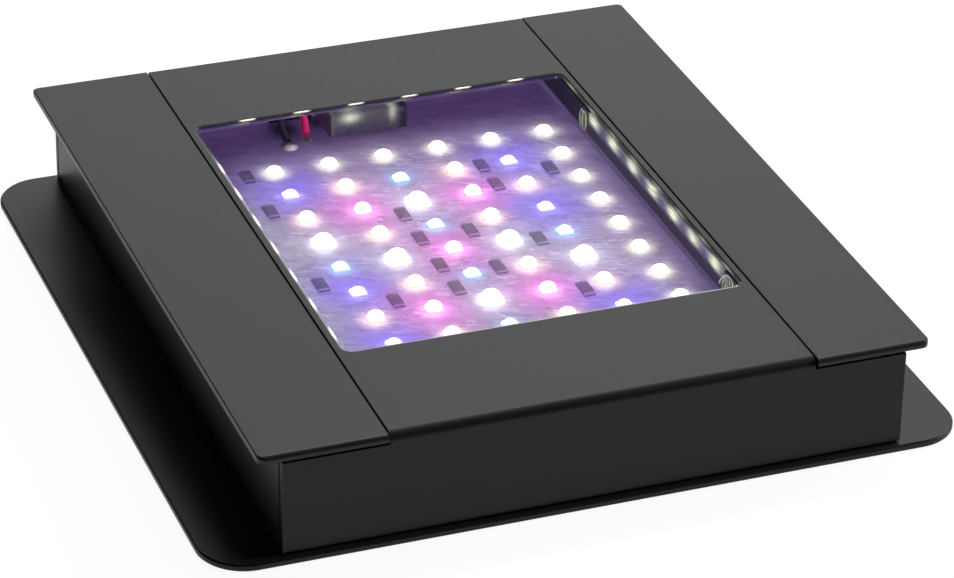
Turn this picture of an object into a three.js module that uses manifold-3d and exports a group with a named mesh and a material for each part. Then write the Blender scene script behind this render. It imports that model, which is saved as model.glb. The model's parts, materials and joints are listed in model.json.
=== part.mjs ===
// A small sheet-metal LED light for an aquarium, lying on its cover plate with the light window up.
// Millimetres, +Z up. The origin is the middle of the cover plate's outer face.
// The front wall faces -Y, and the power socket is in the back wall, at +Y.
import * as THREE from 'three';
import { mergeVertices } from 'three/addons/utils/BufferGeometryUtils.js';
import Module from 'manifold-3d';

const wasm = await Module();
wasm.setup();

// ---- Driving dimensions -------------------------------------------------------------------
const HEIGHT = 24.5;
const SHEET = 1.6;
const EDGE_ROUND = 0.35;

const PLATE = { width: 160, depth: 166.6, corner: 10 };
const COVER_GASKET = { thick: 0.4, outerX: 64.6, outerY: 81.3, width: 7.4, corner: 1 };

const FLANGE = { halfWidth: 70, halfDepth: 82.5, corner: 1.8 };
const WEB = { outer: 65.1, thick: 1.0, front: -79.7, back: 79.7 };
// How far a piece reaches into its neighbour where the two are joined into one body.
const JOIN = 0.5;
// How far a cutting body reaches past the material that it cuts.
const PAST = 1;
const FOOT = { inner: 55, halfDepth: 79, lip: 0.5, lipHeight: 0.8 };

const WALL = { face: 81.9, halfWidth: 65.1, bend: 2.0, gapUnderFlange: 0.7 };
const LIP = { halfWidth: 54, reach: 7.3 };
const SEAM = { left: -43.55, right: 45.45, gap: 0.3 };
const WINDOW = { x0: -42, x1: 44, y0: -50, y1: 52.8, corner: 2.5 };

const PANE = { thick: 2.0, recess: 0.3, inset: 0.4 };
const PANE_GASKET = { thick: 0.4, clear: 0.2, inset: 0.2 };
const FRAME = { wall: 4.5, ledge: 0.8, backInner: 64.5, backWall: 3, height: 7.2, corner: 1 };
const STRIP = { width: 3, height: 2.9, y0: -41, y1: 34 };
const FIT = 0.2;

const BOARD = { thick: 1.6, corner: 2 };
const PAD = { thick: 0.5, inset: 0.5 };
const SPREADER = { thick: 2, halfTop: 52, footEnd: 63, front: -72 };

const LED = { columns: 6, rows: 8, pitchX: 12.5, pitchY: 11.2, midX: 4.2, midY: 2 };
const LED_BODY = { width: 3.5, depth: 3.2, height: 0.8 };
const LED_LENS = { foot: 1.5, top: 0.9, height: 0.6 };
// Six stronger LEDs stand in wider bodies: [column, row].
const STRONG_LEDS = [[2, 1], [4, 2], [1, 3], [3, 3], [0, 4], [2, 5]];
const STRONG_BODY = { width: 4.8, depth: 4.8, height: 0.8 };
const STRONG_LENS = { foot: 2.3, top: 1.3, height: 1.6 };
const TRACE = { width: 0.8, height: 0.1, tail: 2 };
const RESISTOR = { width: 2.5, depth: 5.6, height: 0.6 };
// Each resistor lies between two LED columns: [column, row], counted in LED pitches.
const RESISTOR_PLACES = [
  [-0.5, 7], [-0.5, 5.5], [-0.5, 2.5], [0.5, 1.5], [1.6, 4.6],
  [1.6, 3.6], [1.6, 2.5], [1.6, 1.6], [2.5, 3.6], [2.5, 2.1],
  [3.5, 6], [3.5, 5.2], [3.5, 2.9], [3.6, 0.8], [4.6, 5.5],
];
const TERMINAL = { x0: -10.3, x1: 7.8, y0: 53.2, y1: 64.2, height: 5.4, corner: 2, round: 0.8 };

const SOCKET = { x: -16, z: 17, thread: 4, flange: 5.5, bore: 3.15, pin: 1.05, end: 72 };
const SOCKET_FLANGE_END = 83.2;
const SOCKET_BORE_DEPTH = 9.2;
const SOCKET_PIN_RECESS = 1.7;
const WASHER = { thick: 0.4, outer: 5.3 };
const NUT = { acrossFlats: 10, thick: 2.5 };
const THREAD_GAP = 0.2;
const TAG = { width: 2, thick: 0.6, end: 69.5 };
// The leads run level from the socket's tags to y = bend, then sag to their solder pads.
const LEAD = { radius: 0.85, spread: 2.5, z: 16.7, start: 69.3, middle: 66, bend: 62.5 };
const LEAD_SAG = { knee: 0.2, end: 0.5 };
const RED_LEAD = { kneeX: 0.7, kneeY: 59, endX: 1.8, endY: 55 };
const BLACK_LEAD = { kneeX: 1.3, kneeY: 58.5, endX: 1.6, endY: 53.5 };
const GROMMET = { halfWidth: 4.9, y0: 64.1, y1: 67.9, height: 2.8, hole: 1.0, lift: 0.05 };

const SCREW = { head: 2.8, shank: 1.5, recess: 0.1, headHeight: 1.3, clearance: 0.2 };
const SCREW_TIP = { corner: 7, wall: 5 };
const DRIVE = { slot: 0.6, span: 3.2, depth: 0.8 };
const CORNER_SCREW = { x: 60, y: 62 };
const WALL_SCREW_Y = 76.7;

// ---- Heights of the stack, from the cover plate up ---------------------------------------
const Z_PLATE = SHEET;
const Z_BOX = Z_PLATE + COVER_GASKET.thick;
const Z_UNDER_TOP = HEIGHT - SHEET;
const Z_FRAME_TOP = Z_UNDER_TOP - PANE_GASKET.thick;
const Z_PANE_TOP = HEIGHT - PANE.recess;
const Z_PANE = Z_PANE_TOP - PANE.thick;
const Z_BOARD_TOP = Z_FRAME_TOP - FRAME.height;
const Z_BOARD = Z_BOARD_TOP - BOARD.thick;
const Z_PAD = Z_BOARD - PAD.thick;
const Z_SPREADER_FOOT = Z_BOX + SHEET;

// ---- Geometry helpers ---------------------------------------------------------------------
function toSolid(geometry) {
  const bare = geometry.clone();
  bare.deleteAttribute('normal');
  bare.deleteAttribute('uv');
  const merged = mergeVertices(bare, 1e-4);
  const vertProperties = new Float32Array(merged.attributes.position.array);
  const triVerts = new Uint32Array(merged.index.array);
  return new wasm.Manifold(new wasm.Mesh({ numProp: 3, vertProperties, triVerts }));
}

function toGeometry(solid) {
  const mesh = solid.getMesh();
  const geometry = new THREE.BufferGeometry();
  const positions = new Float32Array(mesh.vertProperties);
  geometry.setAttribute('position', new THREE.BufferAttribute(positions, 3));
  geometry.setIndex(new THREE.BufferAttribute(new Uint32Array(mesh.triVerts), 1));
  geometry.computeVertexNormals();
  return geometry;
}

function boxGeometry(x0, x1, y0, y1, z0, z1) {
  const geometry = new THREE.BoxGeometry(x1 - x0, y1 - y0, z1 - z0);
  return geometry.translate((x0 + x1) / 2, (y0 + y1) / 2, (z0 + z1) / 2);
}

function box(x0, x1, y0, y1, z0, z1) {
  return toSolid(boxGeometry(x0, x1, y0, y1, z0, z1));
}

// A rectangle whose left and right pairs of corners can have different radii.
function roundedRect(x0, x1, y0, y1, leftRadius, rightRadius = leftRadius) {
  const shape = new THREE.Shape();
  const corner = (x, y, radius, start) => {
    if (radius > 0) {
      shape.absarc(x, y, radius, start, start + Math.PI / 2, false);
    } else {
      shape.lineTo(x, y);
    }
  };
  shape.moveTo(x0 + leftRadius, y0);
  corner(x1 - rightRadius, y0 + rightRadius, rightRadius, -Math.PI / 2);
  corner(x1 - rightRadius, y1 - rightRadius, rightRadius, 0);
  corner(x0 + leftRadius, y1 - leftRadius, leftRadius, Math.PI / 2);
  corner(x0 + leftRadius, y0 + leftRadius, leftRadius, Math.PI);
  shape.closePath();
  return shape;
}

function slab(shape, z0, z1, round = 0, curveSegments = 4) {
  const geometry = new THREE.ExtrudeGeometry(shape, {
    depth: z1 - z0 - 2 * round,
    bevelEnabled: round > 0,
    bevelThickness: round,
    bevelSize: round,
    bevelOffset: -round,
    bevelSegments: 1,
    curveSegments,
  });
  return toSolid(geometry.translate(0, 0, z0 + round));
}

function ring(outer, inner, z0, z1) {
  return slab(outer, z0, z1).subtract(slab(inner, z0 - PAST, z1 + PAST));
}

function rod(x, y, z0, z1, radius, sides = 12) {
  const geometry = new THREE.CylinderGeometry(radius, radius, z1 - z0, sides);
  geometry.rotateX(Math.PI / 2);
  return toSolid(geometry.translate(x, y, (z0 + z1) / 2));
}

function rodAlongY(x, z, y0, y1, radius, sides = 18) {
  const geometry = new THREE.CylinderGeometry(radius, radius, y1 - y0, sides);
  return toSolid(geometry.translate(x, (y0 + y1) / 2, z));
}

// A lathed form standing on +Z: each profile point is [radius, height].
function latheUp(profile, x, y, sides = 12) {
  const points = profile.map(([radius, height]) => new THREE.Vector2(radius, height));
  const geometry = new THREE.LatheGeometry(points, sides);
  geometry.rotateX(Math.PI / 2);
  return toSolid(geometry.translate(x, y, 0));
}

const lightGroup = new THREE.Group();

function addPart(name, solid, colour, roughness, metalness) {
  const material = new THREE.MeshStandardMaterial({ color: colour, roughness, metalness });
  const mesh = new THREE.Mesh(toGeometry(solid), material);
  mesh.name = name;
  lightGroup.add(mesh);
}

const BLACK_METAL = [0x2f3031, 0.45, 0.6];
const BLACK_RUBBER = [0x0c0c0c, 0.9, 0];
const STEEL = [0x9a9c9e, 0.35, 1];

// ---- Screw places, shared by every piece that the screws pass through --------------------
const cornerScrews = [];
for (const y of [-CORNER_SCREW.y, CORNER_SCREW.y]) {
  for (const x of [-CORNER_SCREW.x, CORNER_SCREW.x]) {
    cornerScrews.push({ x, y, tip: SCREW_TIP.corner });
  }
}
const wallScrews = [-WALL_SCREW_Y, WALL_SCREW_Y].map((y) => ({ x: 0, y, tip: SCREW_TIP.wall }));
const allScrews = [...cornerScrews, ...wallScrews];

function drill(solid, places, z0, z1) {
  const radius = SCREW.shank + SCREW.clearance;
  return places.reduce((rest, { x, y }) => rest.subtract(rod(x, y, z0, z1, radius)), solid);
}

// ---- Cover plate with countersunk holes ---------------------------------------------------
function coverPlate() {
  const { width, depth, corner } = PLATE;
  const outline = roundedRect(-width / 2, width / 2, -depth / 2, depth / 2, corner);
  const sink = [
    [0, -PAST],
    [SCREW.head + SCREW.clearance, -PAST],
    [SCREW.head + SCREW.clearance, SCREW.recess],
    [SCREW.shank + SCREW.clearance, SCREW.recess + SCREW.headHeight],
    [SCREW.shank + SCREW.clearance, SHEET + PAST],
    [0, SHEET + PAST],
  ];
  const plate = slab(outline, 0, SHEET, EDGE_ROUND, 9);
  return allScrews.reduce((rest, { x, y }) => rest.subtract(latheUp(sink, x, y)), plate);
}
addPart('cover_plate', coverPlate(), ...BLACK_METAL);

function coverGasket() {
  const { outerX, outerY, width, corner } = COVER_GASKET;
  const innerX = outerX - width;
  const innerY = outerY - width;
  const outer = roundedRect(-outerX, outerX, -outerY, outerY, corner);
  const inner = roundedRect(-innerX, innerX, -innerY, innerY, corner);
  return drill(ring(outer, inner, Z_PLATE, Z_BOX), allScrews, Z_PLATE - PAST, Z_BOX + PAST);
}
addPart('cover_gasket', coverGasket(), ...BLACK_RUBBER);

// ---- Centre housing: window panel, front and back walls, and their screw lips -------------
function arcPoints(cy, cz, radius, from, to, steps = 6) {
  const points = [];
  for (let step = 0; step <= steps; step += 1) {
    const angle = from + ((to - from) * step) / steps;
    points.push([cy + radius * Math.cos(angle), cz + radius * Math.sin(angle)]);
  }
  return points;
}

function panelChannel() {
  const inner = WALL.bend - SHEET;
  const bendY = WALL.face - WALL.bend;
  const bendZ = HEIGHT - WALL.bend;
  const outline = [
    [-WALL.face, Z_BOX],
    [-WALL.face + SHEET, Z_BOX],
    ...arcPoints(-bendY, bendZ, inner, Math.PI, Math.PI / 2),
    ...arcPoints(bendY, bendZ, inner, Math.PI / 2, 0),
    [WALL.face - SHEET, Z_BOX],
    [WALL.face, Z_BOX],
    ...arcPoints(bendY, bendZ, WALL.bend, 0, Math.PI / 2),
    ...arcPoints(-bendY, bendZ, WALL.bend, Math.PI / 2, Math.PI),
  ];
  const shape = new THREE.Shape(outline.map(([y, z]) => new THREE.Vector2(y, z)));
  const x0 = SEAM.left + SEAM.gap / 2;
  const x1 = SEAM.right - SEAM.gap / 2;
  const geometry = new THREE.ExtrudeGeometry(shape, { depth: x1 - x0, bevelEnabled: false });
  const along = new THREE.Vector3(1, 0, 0);
  const basis = new THREE.Matrix4().makeBasis(
    new THREE.Vector3(0, 1, 0), new THREE.Vector3(0, 0, 1), along,
  );
  geometry.applyMatrix4(basis);
  return toSolid(geometry.translate(x0, 0, 0));
}

function centreHousing() {
  const wallTop = Z_UNDER_TOP - WALL.gapUnderFlange;
  let housing = panelChannel();
  for (const side of [-1, 1]) {
    const near = side * WALL.face;
    const far = side * (WALL.face - SHEET);
    const lipEnd = side * (WALL.face - LIP.reach - SHEET);
    const wall = box(
      -WALL.halfWidth, WALL.halfWidth, Math.min(near, far), Math.max(near, far), Z_BOX, wallTop,
    );
    const lip = box(
      -LIP.halfWidth, LIP.halfWidth, Math.min(near, lipEnd), Math.max(near, lipEnd),
      Z_BOX, Z_BOX + SHEET,
    );
    housing = housing.add(wall).add(lip);
  }
  const cutout = slab(windowOutline(0), Z_UNDER_TOP - PAST, HEIGHT + PAST);
  const socketHole = rodAlongY(
    SOCKET.x, SOCKET.z, WALL.face - SHEET - PAST, WALL.face + PAST, SOCKET.thread + THREAD_GAP,
  );
  housing = housing.subtract(cutout).subtract(socketHole);
  return drill(housing, wallScrews, Z_BOX - PAST, Z_BOX + SHEET + PAST);
}
addPart('centre_housing', centreHousing(), ...BLACK_METAL);

// ---- Side rails: a flange level with the panel, a web down to the plate, and a foot --------
function rail(side) {
  const seam = side < 0 ? SEAM.left - SEAM.gap / 2 : SEAM.right + SEAM.gap / 2;
  const edge = side * FLANGE.halfWidth;
  const span = (a, b) => [Math.min(a, b), Math.max(a, b)];
  const [x0, x1] = span(seam, edge);
  const leftRadius = side < 0 ? FLANGE.corner : 0;
  const rightRadius = side < 0 ? 0 : FLANGE.corner;
  const outline = roundedRect(
    x0, x1, -FLANGE.halfDepth, FLANGE.halfDepth, leftRadius, rightRadius,
  );
  const flange = slab(outline, Z_UNDER_TOP, HEIGHT, EDGE_ROUND, 5);
  const webInner = WEB.outer - WEB.thick;
  const web = box(
    ...span(side * webInner, side * WEB.outer), WEB.front, WEB.back, Z_BOX, Z_UNDER_TOP + JOIN,
  );
  const foot = box(
    ...span(side * FOOT.inner, side * WEB.outer), -FOOT.halfDepth, FOOT.halfDepth,
    Z_BOX, Z_BOX + SHEET,
  );
  const lip = box(
    ...span(side * webInner, side * (WEB.outer + FOOT.lip)), WEB.front, WEB.back,
    Z_BOX, Z_BOX + FOOT.lipHeight,
  );
  const whole = flange.add(web).add(foot).add(lip);
  return drill(whole, cornerScrews, Z_BOX - PAST, Z_BOX + SHEET + PAST);
}
addPart('left_rail', rail(-1), ...BLACK_METAL);
addPart('right_rail', rail(1), ...BLACK_METAL);

// ---- Heat spreader: a hat section that stands on the rail feet and carries the board ------
const STACK = {
  x0: WINDOW.x0 - FRAME.wall,
  x1: WINDOW.x1 + FRAME.wall,
  y0: WINDOW.y0 - FRAME.wall,
  y1: FRAME.backInner + FRAME.backWall,
};

function heatSpreader() {
  const { thick, halfTop, footEnd, front } = SPREADER;
  const depth = STACK.y1 - front;
  const legTop = Z_PAD - thick;
  const half = [
    [footEnd, Z_SPREADER_FOOT],
    [footEnd, Z_SPREADER_FOOT + thick],
    [halfTop, Z_SPREADER_FOOT + thick],
    [halfTop, Z_PAD],
  ];
  const under = [
    [halfTop - thick, legTop],
    [halfTop - thick, Z_SPREADER_FOOT],
  ];
  const mirrored = (points) => points.map(([x, z]) => [-x, z]).reverse();
  const outline = [...half, ...mirrored(half), ...mirrored(under), ...under];
  const shape = new THREE.Shape(outline.map(([x, z]) => new THREE.Vector2(x, z)));
  const geometry = new THREE.ExtrudeGeometry(shape, { depth, bevelEnabled: false });
  geometry.rotateX(Math.PI / 2).translate(0, STACK.y1, 0);
  const z1 = Z_SPREADER_FOOT + thick + PAST;
  return drill(toSolid(geometry), cornerScrews, Z_SPREADER_FOOT - PAST, z1);
}
addPart('heat_spreader', heatSpreader(), 0xb9bcbe, 0.4, 1);

// ---- LED board, its thermal pad, the light frame, the pane and their seals ----------------
function stackOutline(inset, corner) {
  return roundedRect(
    STACK.x0 + inset, STACK.x1 - inset, STACK.y0 + inset, STACK.y1 - inset, corner,
  );
}
const padBody = slab(stackOutline(PAD.inset, BOARD.corner), Z_PAD, Z_BOARD, 0, 3);
const boardBody = slab(stackOutline(0, BOARD.corner), Z_BOARD, Z_BOARD_TOP, 0, 3);
addPart('thermal_pad', padBody, 0x8f9aa3, 0.9, 0);
addPart('led_board', boardBody, 0xd9dbe2, 0.4, 0);

function windowOutline(inset) {
  const { x0, x1, y0, y1, corner } = WINDOW;
  return roundedRect(x0 + inset, x1 - inset, y0 + inset, y1 - inset, corner - inset);
}

// The clear strips under the pane's left and right rims, set into pockets in the light frame.
function stripBox(side, clearance) {
  const wall = side < 0 ? WINDOW.x0 + FRAME.ledge : WINDOW.x1 - FRAME.ledge;
  const back = wall + side * (STRIP.width + clearance);
  const front = wall - side * clearance;
  return box(
    Math.min(front, back), Math.max(front, back), STRIP.y0 - clearance, STRIP.y1 + clearance,
    Z_PANE - STRIP.height - clearance, Z_PANE + clearance,
  );
}

function lightFrame() {
  const { ledge, backInner, corner } = FRAME;
  const opening = roundedRect(
    WINDOW.x0 + ledge, WINDOW.x1 - ledge, WINDOW.y0 + ledge, backInner, corner,
  );
  const walls = ring(stackOutline(0, BOARD.corner), opening, Z_BOARD_TOP, Z_FRAME_TOP);
  const rebate = slab(windowOutline(PANE.inset - FIT), Z_PANE, Z_FRAME_TOP + PAST);
  const slot = box(
    SOCKET.x - GROMMET.halfWidth - FIT, SOCKET.x + GROMMET.halfWidth + FIT,
    FRAME.backInner - PAST, STACK.y1 + PAST, Z_BOARD_TOP - PAST, Z_BOARD_TOP + GROMMET.height + FIT,
  );
  return walls.subtract(rebate).subtract(slot).subtract(stripBox(-1, FIT)).subtract(stripBox(1, FIT));
}
addPart('light_frame', lightFrame(), 0x17171b, 0.6, 0);

addPart('pane_strip_left', stripBox(-1, 0), 0xe4efe6, 0.1, 0);
addPart('pane_strip_right', stripBox(1, 0), 0xe4efe6, 0.1, 0);
addPart('window_pane', slab(windowOutline(PANE.inset), Z_PANE, Z_PANE_TOP), 0xe9f2ee, 0.05, 0);

function paneGasket() {
  const { clear, inset } = PANE_GASKET;
  const { x0, x1, y0, y1, corner } = WINDOW;
  const inner = roundedRect(x0 - clear, x1 + clear, y0 - clear, y1 + clear, corner);
  return ring(stackOutline(inset, BOARD.corner), inner, Z_FRAME_TOP, Z_UNDER_TOP);
}
addPart('pane_gasket', paneGasket(), ...BLACK_RUBBER);

function sealBead() {
  return ring(windowOutline(0), windowOutline(PANE.inset), Z_UNDER_TOP, Z_PANE_TOP);
}
addPart('window_seal_bead', sealBead(), 0xe6e6ec, 0.2, 0);

// ---- LEDs: each column is one string of LEDs on its copper trace --------------------------
const ledX = (column) => LED.midX + (column - (LED.columns - 1) / 2) * LED.pitchX;
const ledY = (row) => LED.midY + (row - (LED.rows - 1) / 2) * LED.pitchY;

function chip(x, y, { width, depth, height }) {
  return box(
    x - width / 2, x + width / 2, y - depth / 2, y + depth / 2, Z_BOARD_TOP, Z_BOARD_TOP + height,
  );
}

// One LED: its body with a low lens on top.
function led(x, y, body, { foot, top, height }) {
  const z = Z_BOARD_TOP + body.height;
  const lens = new THREE.CylinderGeometry(top, foot, height + JOIN, 8);
  lens.rotateX(Math.PI / 2).translate(x, y, z + (height - JOIN) / 2);
  return chip(x, y, body).add(toSolid(lens));
}

const isStrong = (column, row) => STRONG_LEDS.some(([c, r]) => c === column && r === row);
for (let column = 0; column < LED.columns; column += 1) {
  const x = ledX(column);
  const depth = (LED.rows - 1) * LED.pitchY + LED_BODY.depth + 2 * TRACE.tail;
  let string = chip(x, LED.midY, { width: TRACE.width, depth, height: TRACE.height });
  for (let row = 0; row < LED.rows; row += 1) {
    const strong = isStrong(column, row);
    const body = strong ? STRONG_BODY : LED_BODY;
    string = string.add(led(x, ledY(row), body, strong ? STRONG_LENS : LED_LENS));
  }
  addPart(`led_string_${column + 1}`, string, 0xf6f3e8, 0.5, 0);
}

RESISTOR_PLACES.forEach(([column, row], index) => {
  addPart(`resistor_${index + 1}`, chip(ledX(column), ledY(row), RESISTOR), 0x2a2830, 0.5, 0);
});

function terminalBlock() {
  const { x0, x1, y0, y1, height, corner, round } = TERMINAL;
  const tall = slab(
    roundedRect(x0, x1, y0, y1, corner), Z_BOARD_TOP - round, Z_BOARD_TOP + height, round, 4,
  );
  const below = box(
    x0 - PAST, x1 + PAST, y0 - PAST, y1 + PAST, Z_BOARD_TOP - round - PAST, Z_BOARD_TOP,
  );
  return tall.subtract(below);
}
addPart('terminal_block', terminalBlock(), 0x3a3a40, 0.5, 0);

// ---- Power socket, its seal and nut, and the two leads to the board -----------------------
function powerSocket() {
  const flangeStart = WALL.face + WASHER.thick;
  const boreEnd = SOCKET_FLANGE_END - SOCKET_BORE_DEPTH;
  const profile = [
    [0, SOCKET.end],
    [SOCKET.thread, SOCKET.end],
    [SOCKET.thread, flangeStart],
    [SOCKET.flange, flangeStart],
    [SOCKET.flange, SOCKET_FLANGE_END],
    [SOCKET.bore, SOCKET_FLANGE_END],
    [SOCKET.bore, boreEnd],
    [SOCKET.pin, boreEnd],
    [SOCKET.pin, SOCKET_FLANGE_END - SOCKET_PIN_RECESS],
    [0, SOCKET_FLANGE_END - SOCKET_PIN_RECESS],
  ];
  const points = profile.map(([radius, y]) => new THREE.Vector2(radius, y));
  let socket = toSolid(new THREE.LatheGeometry(points, 24).translate(SOCKET.x, 0, SOCKET.z));
  for (const side of [-1, 1]) {
    const x = SOCKET.x + side * LEAD.spread;
    socket = socket.add(box(
      x - TAG.width / 2, x + TAG.width / 2, TAG.end, SOCKET.end + JOIN,
      SOCKET.z - TAG.thick / 2, SOCKET.z + TAG.thick / 2,
    ));
  }
  return socket;
}
addPart('power_socket', powerSocket(), 0x1b1b1d, 0.45, 0.2);

const threadHole = (y0, y1) => rodAlongY(SOCKET.x, SOCKET.z, y0, y1, SOCKET.thread + THREAD_GAP);
const washerEnd = WALL.face + WASHER.thick;
addPart(
  'socket_washer',
  rodAlongY(SOCKET.x, SOCKET.z, WALL.face, washerEnd, WASHER.outer)
    .subtract(threadHole(WALL.face - PAST, washerEnd + PAST)),
  ...BLACK_RUBBER,
);

function socketNut() {
  const end = WALL.face - SHEET;
  const start = end - NUT.thick;
  const cornerRadius = NUT.acrossFlats / Math.sqrt(3);
  const hex = new THREE.CylinderGeometry(cornerRadius, cornerRadius, NUT.thick, 6);
  hex.rotateY(Math.PI / 6 + Math.PI / 2).translate(SOCKET.x, (start + end) / 2, SOCKET.z);
  return toSolid(hex).subtract(threadHole(start - PAST, end + PAST));
}
addPart('socket_nut', socketNut(), ...STEEL);

function leadGrommet() {
  const { halfWidth, y0, y1, height, hole, lift } = GROMMET;
  let grommet = box(
    SOCKET.x - halfWidth, SOCKET.x + halfWidth, y0, y1, Z_BOARD_TOP + lift, Z_BOARD_TOP + height,
  );
  for (const side of [-1, 1]) {
    const x = SOCKET.x + side * LEAD.spread;
    grommet = grommet.subtract(rodAlongY(x, LEAD.z, y0 - PAST, y1 + PAST, hole, 12));
  }
  return grommet;
}
addPart('lead_grommet', leadGrommet(), ...BLACK_RUBBER);

// A lead leaves its socket tag, goes straight through the grommet and sinks to its solder pad.
function lead(side, { kneeX, kneeY, endX, endY }) {
  const x = SOCKET.x + side * LEAD.spread;
  const path = new THREE.CatmullRomCurve3([
    new THREE.Vector3(x, LEAD.start, LEAD.z),
    new THREE.Vector3(x, LEAD.middle, LEAD.z),
    new THREE.Vector3(x, LEAD.bend, LEAD.z),
    new THREE.Vector3(x - kneeX, kneeY, LEAD.z - LEAD_SAG.knee),
    new THREE.Vector3(x - endX, endY, LEAD.z - LEAD_SAG.end),
  ]);
  const section = new THREE.Shape();
  section.absarc(0, 0, LEAD.radius, 0, Math.PI * 2, false);
  return toSolid(new THREE.ExtrudeGeometry(section, {
    extrudePath: path, steps: 10, curveSegments: 4, bevelEnabled: false,
  }));
}
addPart('lead_red', lead(1, RED_LEAD), 0xb01030, 0.5, 0);
addPart('lead_black', lead(-1, BLACK_LEAD), 0x101012, 0.5, 0);

// ---- Countersunk screws, driven from the cover plate's outer face -------------------------
function coverScrew({ x, y, tip }) {
  const { head, shank, recess, headHeight } = SCREW;
  const profile = [
    [0, recess], [head, recess], [shank, recess + headHeight], [shank, tip], [0, tip],
  ];
  const bottom = recess - PAST;
  const top = recess + DRIVE.depth;
  const halfSlot = DRIVE.slot / 2;
  const halfSpan = DRIVE.span / 2;
  return latheUp(profile, x, y)
    .subtract(box(x - halfSpan, x + halfSpan, y - halfSlot, y + halfSlot, bottom, top))
    .subtract(box(x - halfSlot, x + halfSlot, y - halfSpan, y + halfSpan, bottom, top));
}
cornerScrews.forEach((place, index) => {
  addPart(`corner_screw_${index + 1}`, coverScrew(place), ...STEEL);
});
wallScrews.forEach((place, index) => {
  addPart(`wall_screw_${index + 1}`, coverScrew(place), ...STEEL);
});

export default lightGroup;
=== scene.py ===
"""A sheet-metal LED light for an aquarium, lying on its cover plate with the lit window up.

Metres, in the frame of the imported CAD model: +Z up, the front wall faces -Y.
"""
import json
import math

import bmesh
import bpy
from mathutils import Matrix, Vector

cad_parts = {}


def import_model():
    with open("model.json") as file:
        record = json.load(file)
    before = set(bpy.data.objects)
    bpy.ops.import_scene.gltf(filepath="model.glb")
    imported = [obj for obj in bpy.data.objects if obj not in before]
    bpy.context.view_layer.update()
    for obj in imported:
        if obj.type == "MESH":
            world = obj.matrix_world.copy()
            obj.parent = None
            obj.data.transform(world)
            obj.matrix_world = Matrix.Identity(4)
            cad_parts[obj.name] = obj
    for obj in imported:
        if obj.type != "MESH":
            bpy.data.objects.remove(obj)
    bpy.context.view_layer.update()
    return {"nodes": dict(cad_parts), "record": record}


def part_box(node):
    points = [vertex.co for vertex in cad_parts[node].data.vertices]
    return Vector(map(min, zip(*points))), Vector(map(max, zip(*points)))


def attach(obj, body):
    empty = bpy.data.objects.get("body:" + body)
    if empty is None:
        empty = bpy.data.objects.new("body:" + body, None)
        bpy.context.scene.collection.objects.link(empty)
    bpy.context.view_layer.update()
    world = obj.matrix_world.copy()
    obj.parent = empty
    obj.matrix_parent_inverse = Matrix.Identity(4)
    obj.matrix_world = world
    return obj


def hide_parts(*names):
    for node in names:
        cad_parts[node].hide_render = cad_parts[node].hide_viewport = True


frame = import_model()
NODES = frame["nodes"]
SLOTS = {entry["node"]: entry["material_slot"] for entry in frame["record"]["subparts"]}
MM = 0.001

# ---- Places read from the CAD model -------------------------------------------------------
BOARD_LOW, BOARD_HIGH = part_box("led_board")
BEAD_LOW, BEAD_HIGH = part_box("window_seal_bead")
PANE_LOW, PANE_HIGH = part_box("window_pane")
HOUSING_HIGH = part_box("centre_housing")[1]
PANEL_TOP = HOUSING_HIGH[2]
SHEET = 1.6 * MM
WINDOW_CORNER = 2.5 * MM

# Rows of LED colours from the front to the back: blue, warm white, cyan, pink, high power, neutral.
LED_ROWS = ["BWCWBN", "WPHPWN", "BWCWHN", "CHPHCN", "HWCWBN", "WPHPWN", "BWCWBN", "NNNNNN"]
LED_TRACE_TAIL = 2.0 * MM
LED_DEPTH = 3.2 * MM
LED_HALF_WIDTH = 1.75 * MM
STRONG_HALF_WIDTH = 2.4 * MM
LED_HEIGHT = 0.8 * MM
LED_LIGHT = {
    "B": (0.24, 0.16, 1.0),
    "W": (1.0, 0.62, 0.42),
    "C": (0.12, 0.5, 1.0),
    "P": (1.0, 0.16, 0.72),
    "H": (0.95, 0.95, 1.0),
    "N": (1.0, 0.93, 0.62),
}


def led_places():
    """(column, row, x, y, colour letter) of every LED, from the boxes of the LED strings."""
    places = []
    for column in range(len(LED_ROWS[0])):
        low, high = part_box(f"led_string_{column + 1}")
        first = low[1] + LED_TRACE_TAIL + LED_DEPTH / 2
        last = high[1] - LED_TRACE_TAIL - LED_DEPTH / 2
        for row, letters in enumerate(LED_ROWS):
            y = first + (last - first) * row / (len(LED_ROWS) - 1)
            places.append((column, row, (low[0] + high[0]) / 2, y, letters[column]))
    return places


LEDS = led_places()


# ---- Material helpers ---------------------------------------------------------------------
NOISE_ROUGHNESS = 0.55


def fill(tree, socket, value):
    """Links a socket to another one, or sets its value."""
    if isinstance(value, bpy.types.NodeSocket):
        tree.links.new(value, socket)
    else:
        socket.default_value = value


def add_node(tree, kind, inputs=None, **settings):
    """A new node whose settings and inputs are filled in."""
    made = tree.nodes.new(kind)
    for key, value in settings.items():
        setattr(made, key, value)
    for key, value in (inputs or {}).items():
        fill(tree, made.inputs[key], value)
    return made


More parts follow.
